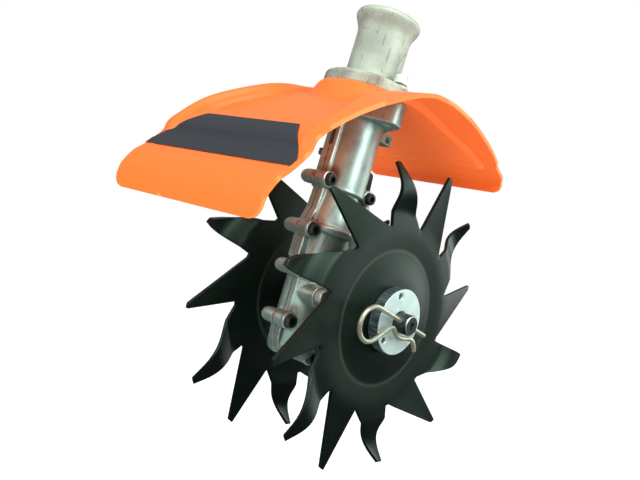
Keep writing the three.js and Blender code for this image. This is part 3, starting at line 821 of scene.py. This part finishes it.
def guard_half_width(s):
    """The sheet narrows to a tab behind, and its corners are rounded at both lips."""
    def corner(distance, radius):
        d = max(0.0, radius - max(0.0, distance))
        return radius - math.sqrt(max(0.0, radius * radius - d * d))
    y = guard_row(s)[0].x
    tabs = 1.5 * smoothstep(y, 88, 91) + 1.5 * smoothstep(y, 104, 106.5)
    return GUARD_W - tabs - corner(s, 9) - corner(len(GUARD) - 1 - s, 7)


def mudguard():
    columns, rows = 136, 220
    sheet = start(bpy.ops.mesh.primitive_grid_add, x_subdivisions=columns, y_subdivisions=rows,
                  size=1)
    length = len(GUARD) - 1
    for v in sheet.data.vertices:
        s = (v.co.y + 0.5) * length
        v.co = guard_point(2 * v.co.x * guard_half_width(s), s) * MM
    if sheet.data.polygons[columns * rows // 2].normal.z < 0:
        sheet.data.flip_normals()
    shaped(sheet, "SOLIDIFY", thickness=(GUARD_T - 0.05) * MM, offset=-1)
    softened(sheet, 0.9, 3, 50)
    clamp = slab(ear_outline(0.6), 100, FLANGE_Z - 3.3, "Z")
    carved(sheet, [clamp, rod(14.7, 120, 170, sides=48)]
           + [rod(BOLT_HOLE_R, 120, 170, at=(s * BOLT_X, 0)) for s in (-1, 1)])
    finished(sheet, "mudguard_sheet", "head", ORANGE, ["mudguard"], 40)


def mudguard_label():
    """Plain dark film over the front wing's step, with its upper corners cut off."""
    film = start(bpy.ops.mesh.primitive_grid_add, x_subdivisions=70, y_subdivisions=60, size=1)
    for v in film.data.vertices:
        upper = 71.3 - 1.6 * v.co.x
        s = LABEL_LOW + (v.co.y + 0.5) * (upper - LABEL_LOW)
        k = max(0.0, (s - LABEL_SHOULDER) / (upper - LABEL_SHOULDER))
        left, right = -70.6 + 30.6 * k, 70.2 - 21.2 * k
        v.co = guard_point(left + (v.co.x + 0.5) * (right - left), s, -0.55) * MM
    if film.data.polygons[0].normal.y > 0:
        film.data.flip_normals()
    shaped(film, "SOLIDIFY", thickness=0.25 * MM, offset=-1)
    finished(film, "guard_film", "head", FILM, ["mudguard_label"], 60)


# ---- gearbox housing -----------------------------------------------------------------------------


def ear_outline(grow=0.0):
    """The gearbox's top flange seen from above: a round middle with an ear on each side."""
    big, small, steps = 22 + grow, 9.8 + grow, 14
    a = math.acos((big - small) / BOLT_X)
    arcs = ((0, big, a, math.pi - a), (-BOLT_X, small, math.pi - a, math.pi + a),
            (0, big, math.pi + a, 2 * math.pi - a), (BOLT_X, small, -a, a))
    points = []
    for cx, radius, from_a, to_a in arcs:
        for i in range(steps + 1):
            t = from_a + (to_a - from_a) * i / steps
            points.append((cx + radius * math.cos(t), radius * math.sin(t)))
    return points


def rim_outline():
    """The housing's outline in the plane where its halves meet."""
    drum = [on_shaft(42.2, 178 - 156 * i / 24) for i in range(25)]
    return [(-20.2, 130.6), (-20.2, 72), (-20.8, 60), (-24.3, 50), (-24.3, 24), (-17.4, 18.5),
            (-17.2, -12), (-20.4, -24), (-19.5, -34), (-16, -41), (-10, -44.5), (12, -44.5),
            (24, -41.5), *drum, (30, 80), (28, 86), (20.2, 89), (20.2, 130.6)]


def housing():
    """Both halves cast in one, then bored and cut apart."""
    drum = [(19, 31), (20.6, 31), (22.2, 29.5), (22.8, 24), (23.6, 18.5), (28, 16.6), (32.5, 15.8),
            (36.8, 13.6), (38.5, 10.5)]
    parts = [
        turned([(r, -x) for r, x in drum] + drum[::-1], 96, along="X", at=(SHAFT_Y, 0)),
        turned([(17, 76.8), (19.2, 76.8), (19.6, 77.3), (19.6, 78.4), (19.3, 79.2), (19.3, 132)],
               96),
        turned([(19.9, 48), (20.4, 49), (18.4, 62), (16.6, 74), (16.6, 79)], 96),
        turned([(10, -44.2), (12.6, -44.2), (14.8, -43.2), (16.4, -41.2), (17.2, -38), (17.2, 16),
                (17.8, 21), (19.2, 26), (19.2, 45.4), (21.4, 45.9), (21.8, 46.4), (21.8, 49.6),
                (21.2, 50.4), (19, 51.4)], 96),
        slab([(0, 30), (0, 84), (22, 84), (30, 76), (66, 30)], -8.5, 8.5),
        slab([(-12, 78), (-21.4, 78), (-21.4, 131.5), (-12, 131.5)], -5.2, 5.2),
        block(-10.5, 10.5, 14, 31, 123.6, 132.5),
        turned([(9.5, 4), (8.6, 12), (7.8, 17), (7.6, 20.2), (7.3, 20.6)], 48, along="X",
               at=PLUG),
        slab(ear_outline(), 131, 147.4, "Z"),
        slab(rim_outline(), -5.2, 5.2),
    ]
    for y, z in SCREWS:
        parts.append(turned([(2.2, -14.7), (3.2, -14.5), (4.0, -13.6), (4.9, -11.5), (5.2, -8),
                             (5.5, 9.6), (6.0, 9.8), (6.0, 11.0), (5.7, 11.2)], 32, along="X",
                            at=(y, z)))
    whole = as_cast(parts, HOUSING_VOXEL, 1)
    worm_bore = turned([(13.2, -38.6), (13.2, -28.2), (13.8, -28), (13.8, 30), (12, 33), (12, 80.2),
                        (15.3, 80.3), (15.3, 97), (12.6, 97.1), (12.6, 100), (TUBE_R, 100.1),
                        (TUBE_R, 160)], 48)
    half_bore = [(13.2, 40), (13.2, 22), (17.7, 21.8), (17.7, 9.9), (34.6, 9.8)]
    wheel_bore = turned([(r, -x) for r, x in half_bore] + half_bore[::-1], 64, along="X",
                        at=(SHAFT_Y, 0))
    carved(whole, [
        worm_bore, wheel_bore, block(-2, 2, -30, -10, 107, 131),
        rod(2.8, -30, 30, "X", PINCH), rod(3.6, 13, 30, "X", PLUG), rod(2.3, -24, -8, "X", GRUB),
        block(-80, 80, -80, 140, 147.35, 190)])
    carved(whole, [rod(BOLT_HOLE_R, 120, 170, at=(s * BOLT_X, 0)) for s in (-1, 1)])
    for y, z in SCREWS:
        carved(whole, [rod(2.8, -11, 12, "X", (y, z), 24), rod(4.7, 9.55, 30, "X", (y, z), 32)])
    left = copied(whole)
    carved(whole, [block(-90, SPLIT, -90, 150, -90, 190)])
    carved(left, [block(-SPLIT, 90, -90, 150, -90, 190)])
    for piece, side in ((whole, "right"), (left, "left")):
        finished(piece, f"housing_casting_{side}", "head", HOUSING_CAST,
                 [f"gearbox_half_{side}"], 50)


def housing_fittings():
    screw = cap_screw(4.4, 4.9, 2.5, -10.6, 2.35, 9.8)
    screw.data.transform(ALONG_X)
    for i, at in enumerate(SCREWS, 1):
        twin = copied(screw)
        twin.data.transform(Matrix.Rotation(math.radians(37 * i), 4, "X"))
        finished(moved(twin, 0, *at), f"housing_screw_{i}", "head", BLACK_OXIDE,
                 [f"gearbox_screw_{i}"], 30)
    bpy.data.objects.remove(screw)
    clamp_screw = cap_screw(4.4, 4.9, 2.5, -7.8, 2.35, 10.8)
    clamp_screw.data.transform(ALONG_X)
    finished(moved(mirrored(clamp_screw), 0, *PINCH), "clamp_screw", "head",
             BLACK_OXIDE, ["tube_pinch_screw"], 30)
    bpy.data.objects.remove(clamp_screw)
    pin = turned([(1.4, -25.5), (1.9, -25.1), (1.9, -15), (1.5, -14.4)], 24, along="X", at=GRUB)
    finished(pin, "grub_screw", "head", BLACK_OXIDE, ["tube_grub_screw"], 30)
    plug = hexagon(6.3, 21.3, 26, "X", PLUG)
    softened(plug, 0.5, 2, 40)
    plug = joined([plug, turned([(2.8, 13.4), (3.2, 14), (3.2, 20.8), (6.2, 20.8), (6.2, 21.6)], 32,
                                along="X", at=PLUG)])
    finished(plug, "filler_plug", "head", ZINC, ["oil_filler_plug"], 30)


# ---- cross shaft and what turns on it ------------------------------------------------------------
WIRE_R = 1.68
CLIP_TILT = math.atan2(-5.2, 27)     # the straight leg's slope
CLIP_PATH = [(27, -5.2), (13.5, -2.6), (0, 0), (-14, 2.7), (-28.6, 5.5), (-38, 6.9), (-44, 5),
             (-48.3, 1.2), (-50.2, -4.2), (-49.4, -9.6), (-46.4, -13.9), (-41, -16.7),
             (-35, -16.7), (-29.5, -14), (-22.4, -8.9), (-15.6, -4.6), (-12.4, -4.9),
             (-9.6, -7.2), (-5.4, -9.8), (1.6, -10.6), (9.6, -9.9), (14, -10.8), (17, -13.6),
             (19.8, -17.7)]


def cross_shaft():
    """Bar with a centre hole and chamfer at each end, holes for the clips and seats for keys."""
    end = [(r, SHAFT_END - back) for r, back in (
        (0.9, 4.2), (2.1, 1.9), (2.6, 0), (6.5, 0), (7.3, 0.8), (7.5, 1.4))]
    bar = turned([(r, -x) for r, x in end] + end[::-1], 64, along="X", at=(SHAFT_Y, 0))
    holes = []
    for s in (-1, 1):
        hole = rod(1.8, -12, 12, sides=24)
        hole.data.transform(Matrix.Rotation(CLIP_TILT - math.pi / 2, 4, "X"))
        holes.append(moved(hole, s * CLIP_X, SHAFT_Y, 0))
    seats = [block(a, b, SHAFT_Y - KEYWAY, SHAFT_Y + KEYWAY, 4.7, 12)
             for a, b in ((-6.8, 6.8), (46.9, 53.1), (-53.1, -46.9))]
    carved(bar, holes + seats)
    finished(bar, "cross_shaft_bar", "cross_shaft_set", SHAFT_STEEL,
             ["cross_shaft"], 30)


def hubs():
    """Plated hubs with blind keyways, and the spacers and keys beside them."""
    hub = turned([(7.8, HUB_IN), (HUB_R - 0.3, HUB_IN), (HUB_R, HUB_IN + 0.4),
                  (HUB_R, HUB_OUT - 0.5), (HUB_R - 0.5, HUB_OUT), (8.4, HUB_OUT),
                  (7.8, HUB_OUT - 0.6)], 96, closed=True, along="X", at=(SHAFT_Y, 0))
    cutters = [block(40, 53.2, SHAFT_Y - KEYWAY, SHAFT_Y + KEYWAY, 4, 9.9)]
    for a in HUB_ANGLES:
        at = on_shaft(HUB_SCREW_R, a)
        cutters += [rod(2.3, 40, 60, "X", at),
                    turned([(2.2, HUB_OUT - 0.8), (3.2, HUB_OUT + 0.2)], 32, along="X", at=at)]
    carved(hub, cutters)
    collar = turned([(7.8, 30), (10.6, 30), (11, 30.4), (11, 42.6), (10.6, 43), (7.8, 43)], 64,
                    closed=True, along="X", at=(SHAFT_Y, 0))
    key = softened(block(47.2, 52.8, SHAFT_Y - 2.5, SHAFT_Y + 2.5, 5, 9.6), 0.3, 2)
    for side, twin in (("right", copied), ("left", mirrored)):
        finished(twin(hub), f"hub_{side}", "cross_shaft_set", HUB_ZINC,
                 [f"disc_hub_{side}"], 30)
        finished(twin(collar), f"spacer_{side}", "cross_shaft_set", STEEL,
                 [f"shaft_spacer_{side}"], 30)
        finished(twin(key), f"key_{side}", "cross_shaft_set", STEEL,
                 [f"hub_key_{side}"], 30)
    for done in (hub, collar, key):
        bpy.data.objects.remove(done)


def hub_screws():
    screw = turned([(1.4, 53.6), (1.9, 53), (1.9, 42.9), (3.7, 42.9), (3.7, 42.2), (3.1, 41.1),
                    (2.0, 40.6)], 32)
    carved(screw, [hexagon(1.45, 39, 41.9)])
    screw.data.transform(ALONG_X)
    for side, twin in (("right", copied), ("left", mirrored)):
        for i, a in enumerate(HUB_ANGLES, 1):
            finished(moved(twin(screw), 0, *on_shaft(HUB_SCREW_R, a)), f"hub_bolt_{side}_{i}",
                     "cross_shaft_set", BLACK_OXIDE, [f"hub_screw_{side}_{i}"],
                     30)
    bpy.data.objects.remove(screw)


def clips():
    """Spring wire: one leg goes through the shaft, the other loops back over it."""
    curve = bpy.data.curves.new("clip_wire", "CURVE")
    curve.dimensions = "3D"
    curve.bevel_depth = WIRE_R * MM
    curve.bevel_resolution = 6
    curve.use_fill_caps = True
    line = curve.splines.new("BEZIER")
    line.resolution_u = 8
    line.bezier_points.add(len(CLIP_PATH) - 1)
    for point, (y, z) in zip(line.bezier_points, CLIP_PATH):
        point.co = Vector((CLIP_X, SHAFT_Y + y, z)) * MM
        point.handle_left_type = point.handle_right_type = "AUTO"
    wire = bpy.data.objects.new("clip_wire", curve)
    bpy.context.scene.collection.objects.link(wire)
    select_only(wire)
    bpy.ops.object.convert(target="MESH")
    wire = face_out(bpy.context.object)
    softened(wire, 0.35, 2, 60)
    for side, twin in (("left", mirrored), ("right", lambda piece: piece)):
        finished(twin(wire), f"spring_clip_{side}", "cross_shaft_set", YELLOW_ZINC,
                 [f"shaft_clip_{side}"], 50)


# ---- weeding discs -------------------------------------------------------------------------------
STEP_ANGLE = 1.25                    # degrees of one edge of the plate's rim
TOOTH_HALF = 13.75                   # half a tooth's root, in degrees
TIP_HALF = 2.1                       # half a tooth's tip, in millimetres
LEAN, BOW = 6.2, 7.2                 # how far straight teeth lean and bowed teeth swell sideways
CYCLE = ("in", "bow_out", "out", "bow_in")
PLATE_RINGS = [8.0, 16, 22, 26, 30, 34, 38, 42, 45, 48, 49.6, FOLD_R, 51.2, 53, 56, 60, 65.4,
               NOTCH_R]
PHASE_RIGHT, PHASE_LEFT = -39.2, -92.6


def plate_face(r):
    """Outer face of the plate: a dish round the hub, a fold ring, and the flat of the teeth."""
    if r > FOLD_R:
        return DISC_X - 1.5 * (1 - min(1.0, (r - FOLD_R) / 15))
    return 46 - 2.1 * smoothstep(r, 26, FOLD_R)


def set_over(kind, f):
    """Sideways offset at f of a tooth's length."""
    if kind in ("in", "out"):
        return LEAN * f * (-1 if kind == "in" else 1)
    bow = math.sin(math.pi * min(1.0, max(0.0, (f - 0.22) / 0.8)))
    return (BOW if kind == "bow_out" else -BOW) * max(0.0, bow) ** 1.15


def tooth(plate, centre, kind, rows):
    """Draws one tooth out of the rim; every row shrinks towards a point past the tip."""
    def at(radius, degrees):
        a = math.radians(90 - degrees)
        return Vector((radius * math.cos(a), radius * math.sin(a), 0)) * MM

    def on_tooth(edge):
        first, second = (plate.data.vertices[v].co for v in edge.vertices)
        mid = (first + second) / 2
        if abs(mid.xy.length / MM - NOTCH_R) > 0.05:
            return False
        turn = 90 - math.degrees(math.atan2(mid.y, mid.x)) - centre
        return abs((turn + 180) % 360 - 180) < TOOTH_HALF

    pick(plate, "EDGE", on_tooth)
    last = TIP_HALF / (NOTCH_R * math.sin(math.radians(TOOTH_HALF)))
    root, tip = at(NOTCH_R, centre), at(TIP_R, centre + SWEEP)
    goal = (tip - root * last) / (1 - last)
    size, side = 1.0, 0.0
    for k in range(1, rows + 1):
        f = k / rows
        shrink = 1 - (1 - last) * f
        shift = set_over(kind, f)
        bpy.ops.mesh.extrude_edges_move(
            TRANSFORM_OT_translate={"value": (0, 0, (shift - side) * MM)})
        ratio = shrink / size
        goal.z = DISC_X * MM
        bpy.ops.transform.resize(value=(ratio, ratio, 1), center_override=goal)
        size, side = shrink, shift
    object_mode()


def weeding_disc(phase):
    """A disc turned by phase degrees, with its outer face towards +X."""
    plate = drawn_ring([(r, plate_face(r)) for r in PLATE_RINGS], round(360 / STEP_ANGLE))
    object_mode()
    for i in range(TEETH):
        kind = CYCLE[i % 4]
        tooth(plate, 360 / TEETH * i, kind, 14 if kind.startswith("bow") else 6)
    face_out(plate)
    if plate.data.polygons[0].normal.z < 0:
        plate.data.flip_normals()
    shaped(plate, "SOLIDIFY", thickness=PLATE_T * MM, offset=-1)
    softened(plate, 0.3, 2, 60)
    plate.data.transform(Matrix.Rotation(-math.radians(phase), 4, "Z"))
    plate.data.transform(ALONG_X)
    moved(plate, 0, SHAFT_Y, 0)
    return carved(plate, [rod(2.3, 38, 50, "X", on_shaft(HUB_SCREW_R, a), 24)
                          for a in HUB_ANGLES])


def discs():
    finished(weeding_disc(PHASE_RIGHT), "disc_right", "cross_shaft_set", DISC_BLACK,
             ["weeding_disc_right"], 30)
    other = weeding_disc(PHASE_LEFT)
    finished(mirrored(other), "disc_left", "cross_shaft_set", DISC_BLACK,
             ["weeding_disc_left"], 30)
    bpy.data.objects.remove(other)


# ---- what stays as it is in the frame ------------------------------------------------------------
CARRIED = {"machined_steel": STEEL, "seal_rubber": RUBBER, "wheel_bronze": BRONZE,
           "gasket_sealant": SEALANT_LINE}


def carried_over():
    for part in frame["record"]["subparts"]:
        node = frame["nodes"][part["node"]]
        if not node.hide_render:
            node.data.materials.clear()
            node.data.materials.append(CARRIED[part["material_slot"]])


camera()
studio()
tube_socket()
socket_bolts()
mudguard()
mudguard_label()
housing()
housing_fittings()
cross_shaft()
hubs()
hub_screws()
clips()
discs()
carried_over()
object_mode()
